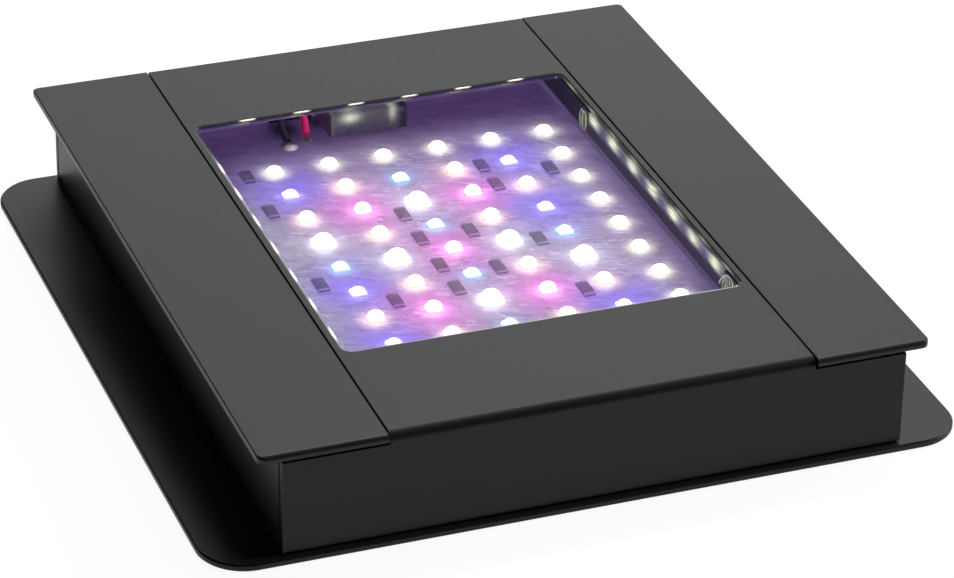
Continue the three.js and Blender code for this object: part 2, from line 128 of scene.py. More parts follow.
class Look:
    """A material's node tree, with short calls for the nodes used here."""

    def __init__(self, name, **values):
        self.material = bpy.data.materials.new(name)
        self.material.use_nodes = True
        self.tree = self.material.node_tree
        self.shader = self.tree.nodes["Principled BSDF"]
        for socket, value in values.items():
            self.shader.inputs[socket.replace("_", " ")].default_value = value

    def node(self, kind, inputs=None, **settings):
        return add_node(self.tree, kind, inputs, **settings)

    def place(self, stretch=(1, 1, 1)):
        """Object coordinates, in metres, stretched per axis."""
        coordinates = self.node("ShaderNodeTexCoord").outputs["Object"]
        return self.node("ShaderNodeMapping", {"Vector": coordinates, "Scale": stretch}).outputs[0]

    def noise(self, size, stretch=(1, 1, 1), detail=3.0, distortion=0.0):
        """Noise with features about size metres across."""
        inputs = {
            "Vector": self.place(stretch),
            "Scale": 1 / size,
            "Detail": detail,
            "Roughness": NOISE_ROUGHNESS,
            "Distortion": distortion,
        }
        return self.node("ShaderNodeTexNoise", inputs).outputs["Fac"]

    def streaks(self, angle, along, across, detail=2.0, distortion=0.0, shift=0.0):
        """Noise drawn out in the XY plane, with a grain of along by across metres."""
        inputs = {
            "Vector": self.node("ShaderNodeTexCoord").outputs["Object"],
            "Location": (shift, 0, 0),
            "Rotation": (0, 0, math.radians(angle)),
            "Scale": (along, across, across),
        }
        turned = self.node("ShaderNodeMapping", inputs, vector_type="TEXTURE").outputs[0]
        inputs = {"Vector": turned, "Scale": 1.0, "Detail": detail, "Distortion": distortion}
        return self.node("ShaderNodeTexNoise", inputs).outputs["Fac"]

    def ramp(self, value, low, high, out_low=0.0, out_high=1.0):
        inputs = {
            "Value": value, "From Min": low, "From Max": high,
            "To Min": out_low, "To Max": out_high,
        }
        return self.node("ShaderNodeMapRange", inputs).outputs["Result"]

    def blend(self, amount, first, second, kind="MIX"):
        made = self.node("ShaderNodeMix", {0: amount}, data_type="RGBA", blend_type=kind)
        for index, value in ((6, first), (7, second)):
            is_link = isinstance(value, bpy.types.NodeSocket)
            fill(self.tree, made.inputs[index], value if is_link else (*value, 1))
        return made.outputs[2]

    def math(self, operation, first, second):
        return self.node("ShaderNodeMath", {0: first, 1: second}, operation=operation).outputs[0]

    def bump(self, height, distance, strength=1.0, normal=None):
        inputs = {"Height": height, "Distance": distance, "Strength": strength}
        if normal is not None:
            inputs["Normal"] = normal
        return self.node("ShaderNodeBump", inputs).outputs["Normal"]

    def feed(self, socket, value):
        self.tree.links.new(value, self.shader.inputs[socket])


def scaled(amount, colour=(1, 1, 1)):
    """A colour made darker or brighter; plain grey if none is given."""
    return tuple(amount * part for part in colour)


# ---- Materials ----------------------------------------------------------------------------
COOL = (0.96, 1.0, 1.03)


def paint(name, value, roughness, specular=0.24):
    """Satin powder coat: fine orange peel, soft blotches, and a few faint scuffs."""
    look = Look(name, Specular_IOR_Level=specular)
    blotch = look.noise(34 * MM, detail=4)
    grain = look.noise(0.55 * MM, detail=2)
    speck = look.noise(0.16 * MM, detail=1)
    lines = look.noise(1.1 * MM, stretch=(1, 0.05, 1), detail=2, distortion=0.4)
    scuff = look.ramp(lines, 0.72, 0.8)
    patch = look.ramp(look.noise(22 * MM, detail=1), 0.6, 0.72)
    wear = look.math("MULTIPLY", scuff, patch)
    dark, light = scaled(value * 0.93, COOL), scaled(value * 1.07, COOL)
    colour = look.blend(look.ramp(blotch, 0.3, 0.7), dark, light)
    colour = look.blend(look.ramp(speck, 0.35, 0.75, 0, 0.35), colour, scaled(value * 1.7, COOL))
    colour = look.blend(look.math("MULTIPLY", wear, 0.5), colour, scaled(value * 2.6, COOL))
    look.feed("Base Color", colour)
    rough = look.ramp(blotch, 0.3, 0.7, roughness - 0.008, roughness + 0.008)
    rough = look.math("ADD", rough, look.ramp(grain, 0.3, 0.7, -0.03, 0.03))
    look.feed("Roughness", rough)
    peel = look.bump(grain, 0.02 * MM, 0.35)
    look.feed("Normal", look.bump(speck, 0.006 * MM, 0.3, peel))
    return look.material


def rubber(name):
    look = Look(name, Specular_IOR_Level=0.3)
    grain = look.noise(0.4 * MM, detail=3)
    look.feed("Base Color", look.blend(grain, scaled(0.006), scaled(0.016)))
    look.feed("Roughness", look.ramp(grain, 0.3, 0.7, 0.7, 0.9))
    look.feed("Normal", look.bump(grain, 0.03 * MM, 0.5))
    return look.material


def moulded(name, colour, roughness=0.45):
    """Moulded plastic with a faint spark-eroded grain."""
    look = Look(name)
    grain = look.noise(0.25 * MM, detail=2)
    cloud = look.noise(6 * MM, detail=3)
    look.feed("Base Color", look.blend(cloud, scaled(0.8, colour), scaled(1.25, colour)))
    look.feed("Roughness", look.ramp(grain, 0.3, 0.7, roughness - 0.06, roughness + 0.08))
    look.feed("Normal", look.bump(grain, 0.01 * MM, 0.5))
    return look.material


def metal(name, colour, roughness, brushed=False):
    look = Look(name, Metallic=1.0)
    stretch = (1, 0.04, 1) if brushed else (1, 1, 1)
    grain = look.noise(0.3 * MM, stretch=stretch, detail=3)
    look.feed("Base Color", look.blend(grain, scaled(0.8, colour), colour))
    look.feed("Roughness", look.ramp(grain, 0.3, 0.7, roughness - 0.08, roughness + 0.1))
    look.feed("Normal", look.bump(grain, 0.008 * MM, 0.4))
    return look.material


def clear_pane():
    look = Look("clear_pane", Base_Color=(0.97, 0.99, 0.985, 1), IOR=1.49, Transmission_Weight=1.0)
    smear = look.noise(18 * MM, stretch=(1, 0.4, 1), detail=4)
    look.feed("Roughness", look.ramp(smear, 0.45, 0.8, 0.0, 0.03))
    return look.material


def glowing(name, base, strength, size, low, high, roughness=0.25, stretch=(1, 1, 1)):
    """A surface lit by its "glow" colours, broken up by a noise pattern."""
    look = Look(name, Base_Color=(*base, 1), Emission_Strength=strength)
    glow = look.node("ShaderNodeVertexColor", layer_name="glow").outputs["Color"]
    flicker = look.noise(size, stretch=stretch, detail=3, distortion=0.6)
    uneven = look.ramp(flicker, 0.3, 0.7, low, high)
    look.feed("Emission Color", look.blend(1.0, glow, uneven, "MULTIPLY"))
    look.feed("Roughness", look.ramp(flicker, 0.3, 0.7, roughness * 0.6, roughness * 1.4))
    return look.material


RIPPLE_ANGLE = -21.0


def board_surface():
    """The lit circuit board under a wrinkled clear coat: the LEDs' light is painted as emission,
    with painted highlights on the ripples' crests, painted glints and painted shade in the troughs.
    """
    look = Look(
        "led_board", Specular_IOR_Level=0.4, Emission_Strength=1.0,
        Coat_Weight=0.5, Coat_Roughness=0.12,
    )
    glow = look.node("ShaderNodeVertexColor", layer_name="glow").outputs["Color"]
    bright = look.node("ShaderNodeRGBToBW", {"Color": glow}).outputs[0]
    cloud = look.streaks(RIPPLE_ANGLE, 5.5 * MM, 3.2 * MM, detail=4, distortion=0.8)
    shaded = look.blend(1.0, glow, look.ramp(cloud, 0.32, 0.68, 0.8, 1.14), "MULTIPLY")
    patches = look.ramp(look.noise(8 * MM, detail=2), 0.4, 0.6)
    near_light = look.ramp(bright, 0.16, 0.42)
    mask = look.math("MULTIPLY", patches, near_light)
    wave = look.streaks(RIPPLE_ANGLE, 7 * MM, 2.3 * MM, detail=2.5, distortion=1.1)
    # Painted highlights on the ripples' crests and painted shade in their troughs.
    crest = look.ramp(look.math("ABSOLUTE", look.math("SUBTRACT", wave, 0.5), 0), 0.0, 0.024, 1, 0)
    trough = look.ramp(look.math("ABSOLUTE", look.math("SUBTRACT", wave, 0.44), 0), 0.0, 0.05, 1, 0)
    # Painted glints along fine ripples, near the LEDs only.
    fine = look.streaks(RIPPLE_ANGLE, 3.4 * MM, 0.9 * MM, detail=1.5, distortion=0.6, shift=0.02)
    painted_glints = look.ramp(fine, 0.58, 0.64)
    painted_glints = look.math("MULTIPLY", painted_glints, look.ramp(patches, 0.2, 0.9, 0.25, 1))
    painted_glints = look.math("MULTIPLY", painted_glints, near_light)
    # Mixes in the painted shade of the troughs, then the painted highlights and glints.
    darker = look.blend(1.0, shaded, (0.66, 0.6, 0.72), "MULTIPLY")
    dip = look.math("MULTIPLY", trough, look.math("MULTIPLY", mask, 0.7))
    lit = look.blend(dip, shaded, darker)
    paler = look.blend(0.4, look.blend(1.0, lit, (1.5, 1.35, 1.45), "MULTIPLY"), (1.0, 0.86, 0.97))
    lit = look.blend(look.math("MULTIPLY", crest, look.math("MULTIPLY", mask, 0.85)), lit, paler)
    lit = look.blend(look.math("MULTIPLY", painted_glints, 0.75), lit, paler)
    look.feed("Emission Color", lit)
    look.feed("Base Color", look.blend(cloud, (0.02, 0.017, 0.026), (0.04, 0.034, 0.05)))
    look.feed("Roughness", look.ramp(cloud, 0.3, 0.7, 0.35, 0.5))
    look.feed("Coat Normal", look.bump(wave, 0.4 * MM, 0.5))
    return look.material


PAINT = paint("dark_sheet", 0.036, 0.42)
# The rounded edges' paint is a little glossier, which is real, and lighter, which is a painted
# highlight for the light their curve catches.
EDGE_PAINT_HIGHLIGHT = paint("dark_sheet_edge", 0.05, 0.38, 0.3)
RUBBER = rubber("black_rubber")
BLACK_PLASTIC = moulded("black_plastic", (0.02, 0.018, 0.024), 0.5)
ALUMINIUM = metal("bare_aluminium", (0.72, 0.73, 0.74), 0.35, brushed=True)
STEEL = metal("bright_steel", (0.6, 0.6, 0.6), 0.25)
THERMAL_PAD = moulded("grey_thermal_pad", (0.3, 0.33, 0.37), 0.75)


# ---- Mesh helpers -------------------------------------------------------------------------
def new_object(name, data):
    made = bpy.data.objects.new(name, data)
    bpy.context.scene.collection.objects.link(made)
    return made


def plain_mesh(bm, name):
    mesh = bpy.data.meshes.new(name)
    bm.to_mesh(mesh)
    bm.free()
    return mesh


def smooth_mesh(bm, name, sharp_degrees):
    """Turns a bmesh into a mesh with smooth faces and sharp creases."""
    bmesh.ops.recalc_face_normals(bm, faces=bm.faces)
    limit = math.radians(sharp_degrees)
    for face in bm.faces:
        face.smooth = True
    for edge in bm.edges:
        edge.smooth = len(edge.link_faces) == 2 and edge.calc_face_angle(0) < limit
    return plain_mesh(bm, name)


def add_piece(bm, node, ending, materials, sharp_degrees=32):
    """Turns a bmesh into the piece that stands for a CAD node, with the given materials, and hides
    the node.
    """
    made = new_object(node + ending, smooth_mesh(bm, node + "_shape", sharp_degrees))
    for material in materials:
        made.data.materials.append(material)
    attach(made, "root")
    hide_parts(node)
    return made


def cad_copy(node):
    """A bmesh copy of a CAD node's shape, with its flat faces in one piece each."""
    bm = bmesh.new()
    bm.from_mesh(NODES[node].data)
    bmesh.ops.remove_doubles(bm, verts=bm.verts, dist=0.001 * MM)
    bmesh.ops.dissolve_limit(
        bm, angle_limit=math.radians(0.5), verts=bm.verts, edges=bm.edges,
        use_dissolve_boundaries=False,
    )
    return bm


def refined(node, radius, segments, pick, reshape=None):
    """A CAD node's shape, reshaped by a function if one is given, with picked edges rounded."""
    bm = cad_copy(node)
    if reshape:
        reshape(bm, node)
    sharp = []
    for edge in bm.edges:
        if len(edge.link_faces) != 2 or edge.calc_face_angle(0) < math.radians(28):
            continue
        if pick(edge.verts[0].co, edge.verts[1].co):
            sharp.append(edge)
    made = bmesh.ops.bevel(
        bm, geom=sharp, offset=radius, segments=segments, profile=0.5, affect="EDGES",
        clamp_overlap=True,
    )
    # The rounded faces take the second material: the edge paint with its painted highlight.
    for face in made["faces"]:
        face.material_index = 1
    return bm


def near(value, target, tolerance):
    return abs(value - target) < tolerance


def join_rings(bm, rings, material_index=0, closed=False):
    """Fills the space between each ring of vertices and the next with quads."""
    pairs = list(zip(rings, rings[1:]))
    if closed:
        pairs.append((rings[-1], rings[0]))
    for first, second in pairs:
        for index in range(len(first)):
            after = (index + 1) % len(first)
            face = bm.faces.new((first[index], first[after], second[after], second[index]))
            face.material_index = material_index


def lit_bmesh():
    """An empty bmesh with a layer of "glow" colours."""
    bm = bmesh.new()
    bm.verts.layers.float_color.new("glow")
    return bm


# ---- Folded sheet pieces ------------------------------------------------------------------
def outer_edges(node, inset):
    """Picks the edges that lie on the outside of a CAD node, so screw holes keep their shape."""
    low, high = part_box(node)

    def on_outside(point):
        return any(
            near(point[axis], limit[axis], inset) for axis in (0, 1) for limit in (low, high)
        )

    return lambda first, second: on_outside(first) and on_outside(second)


SHEET_BEND = 2.0 * MM
FAR_BEND = 0.5 * MM


def tighten_far_bend(bm, node):
    """Gives the bend along the panel's far edge a smaller outer radius than the near one."""
    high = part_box(node)[1]
    centre_y = high[1] - SHEET_BEND
    centre_z = high[2] - SHEET_BEND
    for vert in bm.verts:
        away = Vector((vert.co.y - centre_y, vert.co.z - centre_z))
        if min(away) > -0.01 * MM and near(away.length, SHEET_BEND, 0.05 * MM):
            away.normalize()
            vert.co.y = high[1] - FAR_BEND * (1 - away.x)
            vert.co.z = high[2] - FAR_BEND * (1 - away.y)


def window_or_outside(node):
    """Picks the window's edges, the outside edges and the edges of the top face."""
    outside = outer_edges(node, 0.6 * MM)
    margin = 0.1 * MM

    def in_window(point):
        return (
            BEAD_LOW[0] - margin < point.x < BEAD_HIGH[0] + margin
            and BEAD_LOW[1] - margin < point.y < BEAD_HIGH[1] + margin
            and point.z > PANEL_TOP - 2 * MM
        )

    def pick(first, second):
        if in_window(first) and in_window(second):
            return True
        return outside(first, second) or min(first.z, second.z) > PANEL_TOP - margin

    return pick


def sheet_piece(node, bm):
    """A painted piece whose large faces stay evenly shaded beside their rounded edges."""
    piece = add_piece(bm, node, "_painted", [PAINT, EDGE_PAINT_HIGHLIGHT])
    flat = piece.modifiers.new("flat_faces", "WEIGHTED_NORMAL")
    flat.keep_sharp = True


def open_ring(bm):
    """The vertices round the only open boundary of a mesh, in order."""
    edge = next(edge for edge in bm.edges if edge.is_boundary)
    start = edge.verts[0]
    ring = [start]
    vert = edge.other_vert(start)
    while vert is not start:
        ring.append(vert)
        edge = next(item for item in vert.link_edges if item.is_boundary and item is not edge)
        vert = edge.other_vert(vert)
    return ring


FLANGE_CORNER = 1.8 * MM
FRONT_ROUND = 1.0 * MM
SIDE_ROUND = 0.35 * MM
SEAM_ROUND = 0.15 * MM
UNDER_ROUND = 0.3 * MM


def flange_point(node, vert):
    """(outline x, outline y, normal x, normal y, is at the seam) of a flange's rim vertex."""
    low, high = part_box(node)
    outward = 1 if high[0] > 60 * MM else -1
    edge_x = high[0] if outward > 0 else low[0]
    seam_x = low[0] if outward > 0 else high[0]
    side_y = 1 if vert.co.y > 0 else -1
    edge_y = high[1] if side_y > 0 else low[1]
    if abs(vert.co.x - seam_x) < 1 * MM:
        return seam_x, edge_y, 0, side_y, -outward
    centre_x = edge_x - outward * FLANGE_CORNER
    centre_y = edge_y - side_y * FLANGE_CORNER
    away = Vector((vert.co.x - centre_x, vert.co.y - centre_y)).normalized()
    return centre_x + away.x * FLANGE_CORNER, centre_y + away.y * FLANGE_CORNER, away.x, away.y, 0


def rail_shape(node):
    """A rail whose flange has soft front and back edges, tighter sides and a crisp seam."""
    bm = cad_copy(node)
    under = PANEL_TOP - SHEET
    upper = [vert for vert in bm.verts if vert.co.z > under + 0.05 * MM]
    bmesh.ops.delete(bm, geom=upper, context="VERTS")
    ring = open_ring(bm)
    points = [flange_point(node, vert) for vert in ring]
    rings = [ring]
    steps = 6
    levels = [(under + UNDER_ROUND * 0.4, 0.1, None), (under + UNDER_ROUND, 0.0, None)]
    levels += [(None, 0.0, step / steps) for step in range(steps + 1)]
    for height, inset, turn in levels:
        above = []
        for x, y, normal_x, normal_y, seam in points:
            round_here = FRONT_ROUND * normal_y**2 + SIDE_ROUND * normal_x**2
            if turn is None:
                step_in, z = inset * UNDER_ROUND, height
                seam_in = step_in
            else:
                angle = math.pi / 2 * turn
                step_in = round_here * (1 - math.cos(angle))
                seam_in = SEAM_ROUND * (1 - math.cos(angle))
                z = PANEL_TOP - round_here * (1 - math.sin(angle))
            rim_x = x - normal_x * step_in - seam * seam_in
            above.append(bm.verts.new((rim_x, y - normal_y * step_in, z)))
        rings.append(above)
    # The rounded rim takes the second material: the edge paint with its painted highlight.
    join_rings(bm, rings, 1)
    bm.faces.new(rings[-1])
    return bm


PLATE_EDGES = outer_edges("cover_plate", 10.5 * MM)
sheet_piece("cover_plate", refined("cover_plate", 0.22 * MM, 3, PLATE_EDGES))
HOUSING_EDGES = window_or_outside("centre_housing")
HOUSING_SHAPE = refined("centre_housing", 0.12 * MM, 3, HOUSING_EDGES, tighten_far_bend)
sheet_piece("centre_housing", HOUSING_SHAPE)
for rail in ("left_rail", "right_rail"):
    sheet_piece(rail, rail_shape(rail))


# ---- The light on the board ---------------------------------------------------------------
def bell(distance, width):
    return math.exp(-((distance / width) ** 2))


def spot(aside, up, half_width, half_height):
    """1 in the middle of a soft oval spot, falling off to 0 around it."""
    return bell(math.hypot(aside / half_width, up / half_height), 1.0)


def smooth(value, low, high):
    t = min(1.0, max(0.0, (value - low) / (high - low)))
    return t * t * (3 - 2 * t)


def mixed(first, second, amount):
    return [a + (b - a) * amount for a, b in zip(first, second)]


BOARD_SHADE = (0.07, 0.035, 0.13)
AMBIENT = (0.067, 0.05, 0.088)
AMBIENT_WIDTH = 15 * MM
STRONG_AMBIENT = 1.5
REACH = 34 * MM
# Light that each kind of LED throws on the board: a coloured pool (linear colour, strength, width,
# shift towards the back) and a white halo close to the LED (strength, width).
POOLS = {
    "B": ((0.28, 0.17, 1.0), 1.0, 8.8 * MM, 1.8 * MM, 0.9, 2.3 * MM),
    "P": ((0.98, 0.2, 0.85), 1.0, 8.0 * MM, 0.6 * MM, 2.1, 2.4 * MM),
    "C": ((0.25, 0.45, 0.95), 0.5, 3.8 * MM, 1.2 * MM, 0.9, 2.2 * MM),
    "W": ((0.9, 0.55, 0.58), 0.45, 4.4 * MM, 0.8 * MM, 2.0, 2.4 * MM),
    "H": ((0.74, 0.66, 0.88), 0.7, 6.5 * MM, 0.3 * MM, 1.7, 2.5 * MM),
    "N": ((0.55, 0.5, 0.52), 0.3, 4.6 * MM, 0.6 * MM, 1.9, 2.25 * MM),
}
HALO_SHIFT = -0.1 * MM


# Soft shadows on the board beside the leads and the terminal block: (x, y, half widths, depth).
SHADOWS = (
    (-19.0 * MM, 60.0 * MM, 3.6 * MM, 5.0 * MM, 0.95),
    (-11.0 * MM, 62.5 * MM, 2.4 * MM, 4.6 * MM, 0.92),
    (-1.0 * MM, 53.0 * MM, 9.5 * MM, 1.6 * MM, 0.4),
)


def board_glow(x, y):
    """Linear colour of the light on the board at a place."""
    colour = list(BOARD_SHADE)
    near_leds = []
    for _, _, led_x, led_y, letter in LEDS:
        distance = math.hypot(x - led_x, y - led_y)
        if distance > REACH:
            continue
        strength = STRONG_AMBIENT if letter == "H" else 1.0
        ambient = strength * bell(distance, AMBIENT_WIDTH)
        colour = [part + ambient * tint for part, tint in zip(colour, AMBIENT)]
        near_leds.append((led_x, led_y, letter))
    right_dim = 0.3 * smooth(x, 37 * MM, 46 * MM)
    back_dim = 0.78 * smooth(y, 43 * MM, 58 * MM)
    colour = mixed(colour, BOARD_SHADE, max(right_dim, back_dim))
    # A painted pale glow on the board along the left, fading out towards the back.
    left_pale_glow = 0.3 * smooth(-x, 27 * MM, 38 * MM) * smooth(-y, -40 * MM, -12 * MM)
    colour = mixed(colour, (0.72, 0.72, 0.84), left_pale_glow)
    for led_x, led_y, letter in near_leds:
        tint, strength, width, shift, _, _ = POOLS[letter]
        distance = math.hypot(x - led_x - shift * 0.5, (y - led_y - shift) * 0.9)
        colour = mixed(colour, tint, strength * bell(distance, width))
    for led_x, led_y, letter in near_leds:
        halo, width = POOLS[letter][4:]
        pale = halo * bell(math.hypot(x - led_x - HALO_SHIFT * 0.5, y - led_y - HALO_SHIFT), width)
        light = LED_LIGHT[letter]
        colour = [part + pale * (0.35 + 0.65 * tint) for part, tint in zip(colour, light)]
    for shadow_x, shadow_y, half_x, half_y, depth in SHADOWS:
        shade = 1 - depth * spot(x - shadow_x, y - shadow_y, half_x, half_y)
        colour = scaled(shade, colour)
    return colour


def paint_glow(bm, colour_at, verts=None):
    """Stores colour_at(vertex position) as the "glow" colour of the vertices, or of all of them."""
    glow = bm.verts.layers.float_color["glow"]
    for vert in verts or bm.verts:
        vert[glow] = (*colour_at(vert.co), 1)


def grid_board():
    """The board as a fine grid on top, with sides, carrying the light as colours."""
    step = 0.7 * MM
    width = BOARD_HIGH[0] - BOARD_LOW[0]
    depth = BOARD_HIGH[1] - BOARD_LOW[1]
    bm = lit_bmesh()
    columns, rows = round(width / step), round(depth / step)
    bmesh.ops.create_grid(bm, x_segments=columns, y_segments=rows, size=0.5)
    middle = [(BOARD_LOW[axis] + BOARD_HIGH[axis]) / 2 for axis in (0, 1)]
    bmesh.ops.scale(bm, vec=(width, depth, 1), verts=bm.verts)
    bmesh.ops.translate(bm, vec=(*middle, BOARD_HIGH[2]), verts=bm.verts)
    rim = [edge for edge in bm.edges if edge.is_boundary]
    skirt = bmesh.ops.extrude_edge_only(bm, edges=rim)["geom"]
    lowered = [item for item in skirt if isinstance(item, bmesh.types.BMVert)]
    bmesh.ops.translate(bm, vec=(0, 0, BOARD_LOW[2] - BOARD_HIGH[2]), verts=lowered)
    bmesh.ops.contextual_create(bm, geom=[edge for edge in bm.edges if edge.is_boundary])
    top = BOARD_HIGH[2] - 0.1 * MM
    paint_glow(bm, lambda co: board_glow(co.x, co.y) if co.z > top else BOARD_SHADE)
    return bm


BOARD_LOOK = board_surface()
add_piece(grid_board(), "led_board", "_lit", [BOARD_LOOK])


# ---- LEDs: a glowing body with a lens, on its trace ---------------------------------------
def box_part(bm, low, high, material_index, bevel, segments=2, cuts=0):
    """A box with rounded edges; cuts splits it along Y."""
    made = bmesh.ops.create_cube(bm, size=1)["verts"]
    size = [high[i] - low[i] for i in range(3)]
    middle = [(high[i] + low[i]) / 2 for i in range(3)]
    bmesh.ops.scale(bm, vec=size, verts=made)
    bmesh.ops.translate(bm, vec=middle, verts=made)
    edges = {edge for vert in made for edge in vert.link_edges}
    faces = {face for vert in made for face in vert.link_faces}
    if cuts:
        along = [
            edge for edge in edges
            if abs(edge.verts[0].co.y - edge.verts[1].co.y) > size[1] / 2
        ]
        split = bmesh.ops.subdivide_edges(bm, edges=along, cuts=cuts, use_grid_fill=True)["geom"]
        faces |= {item for item in split if isinstance(item, bmesh.types.BMFace)}
    if bevel:
        rounded = [edge for edge in edges if max(vert.co.z for vert in edge.verts) > middle[2]]
        result = bmesh.ops.bevel(
            bm, geom=rounded, offset=bevel, segments=segments, profile=0.5, affect="EDGES",
        )
        faces = {face for face in faces if face.is_valid} | set(result["faces"])
    for face in faces:
        face.material_index = material_index


def lens(bm, x, y, z, radius, height, sides=24, rings=7):
    """A lens-shaped cap on an LED, closed underneath; gives back its vertices."""
    outlines = []
    for ring in range(rings):
        angle = math.pi / 2 * ring / rings
        r = radius * math.cos(angle)
        outlines.append([
            bm.verts.new((
                x + r * math.cos(2 * math.pi * side / sides),
                y + r * math.sin(2 * math.pi * side / sides),
                z + height * math.sin(angle),
            ))
            for side in range(sides)
        ])
    top = bm.verts.new((x, y, z + height))
    bm.faces.new(reversed(outlines[0]))
    join_rings(bm, outlines)
    for side in range(sides):
        bm.faces.new((outlines[-1][side], outlines[-1][(side + 1) % sides], top))
    return [vert for outline in outlines for vert in outline] + [top]


# Each kind of LED: its lens (radius, height) and the colours at its top and at its foot.
LED_LOOKS = {
    "B": (1.35 * MM, 0.7 * MM, (2.0, 2.0, 2.6), (0.6, 0.5, 1.3)),
    "C": (1.35 * MM, 0.7 * MM, (1.8, 2.3, 2.4), (0.4, 0.9, 1.3)),
    "N": (1.6 * MM, 0.75 * MM, (2.8, 2.7, 2.2), (1.3, 1.25, 0.95)),
    "W": (1.7 * MM, 1.15 * MM, (2.8, 2.5, 2.0), (1.4, 1.05, 0.8)),
    "P": (1.7 * MM, 1.15 * MM, (2.8, 2.2, 2.5), (1.4, 0.7, 1.15)),
    "H": (2.1 * MM, 1.6 * MM, (4.0, 4.0, 4.0), (2.0, 2.0, 2.0)),
}
PACKAGE = glowing("led_package", (0.3, 0.29, 0.28), 1.0, 1.2 * MM, 0.88, 1.06, 0.35)
SOLDER_LIT = glowing("solder_lit", (0.4, 0.38, 0.4), 0.8, 0.8 * MM, 0.5, 1.1, 0.3)
TRACE_HEIGHT = 0.02 * MM
TRACE_HALF_WIDTH = 0.4 * MM
TRACE_CUTS = 160
SOLDER = Vector((0.3 * MM, 0.9 * MM, 0.22 * MM))
LED_ROUND = 0.7 * MM


def led(bm, x, y, board, letter):
    """One LED: a rounded body and its lens, white-hot on top and coloured round its foot."""
    half = STRONG_HALF_WIDTH if letter == "H" else LED_HALF_WIDTH
    half_depth = half if letter == "H" else LED_DEPTH / 2
    top = board + LED_HEIGHT
    radius, height, hot, foot = LED_LOOKS[letter]

    def body_tone(co):
        rise = smooth(co.z, board, top - 0.05 * MM)
        edge = max(abs(co.x - x) / half, abs(co.y - y) / half_depth)
        tone = mixed(foot, hot, rise * (1 - 0.3 * smooth(edge, 0.8, 1.0)))
        return scaled(0.7 + 0.3 * rise, tone)

    def lens_tone(co):
        rise = smooth(co.z, top - height * 0.25, top + height * 0.45)
        return mixed(foot, hot, 0.4 + 0.6 * rise)

    before = set(bm.verts)
    low, high = (x - half, y - half_depth, board), (x + half, y + half_depth, top)
    box_part(bm, low, high, 0, LED_ROUND, 4)
    paint_glow(bm, body_tone, set(bm.verts) - before)
    paint_glow(bm, lens_tone, lens(bm, x, y, top - 0.02 * MM, radius, height))
    # The solder pads glow with the LED's foot colour, which is painted light.
    before = set(bm.verts)
    for side in (-1, 1):
        pad = x + side * half
        low = (pad - SOLDER.x, y - SOLDER.y, board)
        high = (pad + SOLDER.x, y + SOLDER.y, board + SOLDER.z)
        box_part(bm, low, high, 2, 0.1 * MM, 1)
    paint_glow(bm, lambda co: scaled(0.8, foot), set(bm.verts) - before)


def led_string(column):
    """A column of LEDs with the trace between them, which lies under the board's clear coat."""
    node = f"led_string_{column + 1}"
    low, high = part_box(node)
    middle = (low[0] + high[0]) / 2
    board = low[2]
    bm = lit_bmesh()
    corner = (middle + TRACE_HALF_WIDTH, high[1], board + TRACE_HEIGHT)
    box_part(bm, (middle - TRACE_HALF_WIDTH, low[1], board), corner, 1, 0, cuts=TRACE_CUTS)
    for face in bm.faces:
        face.material_index = 1
    paint_glow(bm, lambda co: board_glow(co.x, co.y))
    for place_column, _, x, y, letter in LEDS:
        if place_column == column:
            led(bm, x, y, board, letter)
    add_piece(bm, node, "_lit", [PACKAGE, BOARD_LOOK, SOLDER_LIT])


for string_column in range(len(LED_ROWS[0])):
    led_string(string_column)


# ---- Chip resistors: dark body, pale end caps ---------------------------------------------
RESISTOR_BODY = glowing("resistor_body", (0.03, 0.025, 0.035), 1.0, 1.1 * MM, 0.75, 1.15, 0.5)
RESISTOR_CAP = glowing("resistor_cap", (0.4, 0.38, 0.42), 1.0, 0.6 * MM, 0.55, 1.25, 0.3)


def resistor(node):
    """A chip resistor, lit by the board around it: its sides stay darker than its top."""
    low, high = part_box(node)
    cap = 0.65 * MM
    proud = 0.03 * MM
    around = board_glow((low[0] + high[0]) / 2, (low[1] + high[1]) / 2)
    around = [min(part, 1.0) for part in around]

    def shaded(foot, gain):
        return lambda co: scaled(foot + gain * smooth(co.z, low[2], high[2]), around)

    bm = lit_bmesh()
    corner = (high[0], high[1] - cap / 2, high[2])
    box_part(bm, (low[0], low[1] + cap / 2, low[2]), corner, 0, 0.1 * MM)
    body = set(bm.verts)
    for start in (low[1], high[1] - cap):
        corner = (high[0] + proud, start + cap, high[2] + proud)
        box_part(bm, (low[0] - proud, start, low[2]), corner, 1, 0.12 * MM)
    paint_glow(bm, shaded(0.24, 0.14), body)
    paint_glow(bm, shaded(0.34, 0.34), set(bm.verts) - body)
    add_piece(bm, node, "_chip", [RESISTOR_BODY, RESISTOR_CAP])


for node_name in NODES:
    if node_name.startswith("resistor_"):
        resistor(node_name)


# ---- The clear pane and bead: their rims gather the LEDs' light ---------------------------
DARK_RIM = (0.006, 0.004, 0.02)
HOT_RIM = (2.2, 2.1, 1.5)
SIDE_SPREAD = 1.11
FAR_SHIFT = -2.4 * MM
FAR_BLUR_SHIFT = -8.5 * MM


def row_glint(y, width, spread=SIDE_SPREAD, shift=0.0):
    """1 where the side rim mirrors a row of LEDs, falling to 0 between the rows."""
    rows = sorted({led[3] for led in LEDS})
    return max(bell(y - spread * row - shift, width) for row in rows)


def column_glint(x, width, shift):
    columns = sorted({led[2] for led in LEDS})
    return max(bell(x - column - shift, width) for column in columns)


def row_tint(row, x, shift):
    """Colour of the light that one row of LEDs sends to the rim at x."""
    total = [0.0, 0.0, 0.0]
    for _, led_row, led_x, _, letter in LEDS:
        if led_row == row:
            amount = bell(x - led_x - shift, 3.6 * MM)
            total = [part + amount * tint for part, tint in zip(total, LED_LIGHT[letter])]
    return total


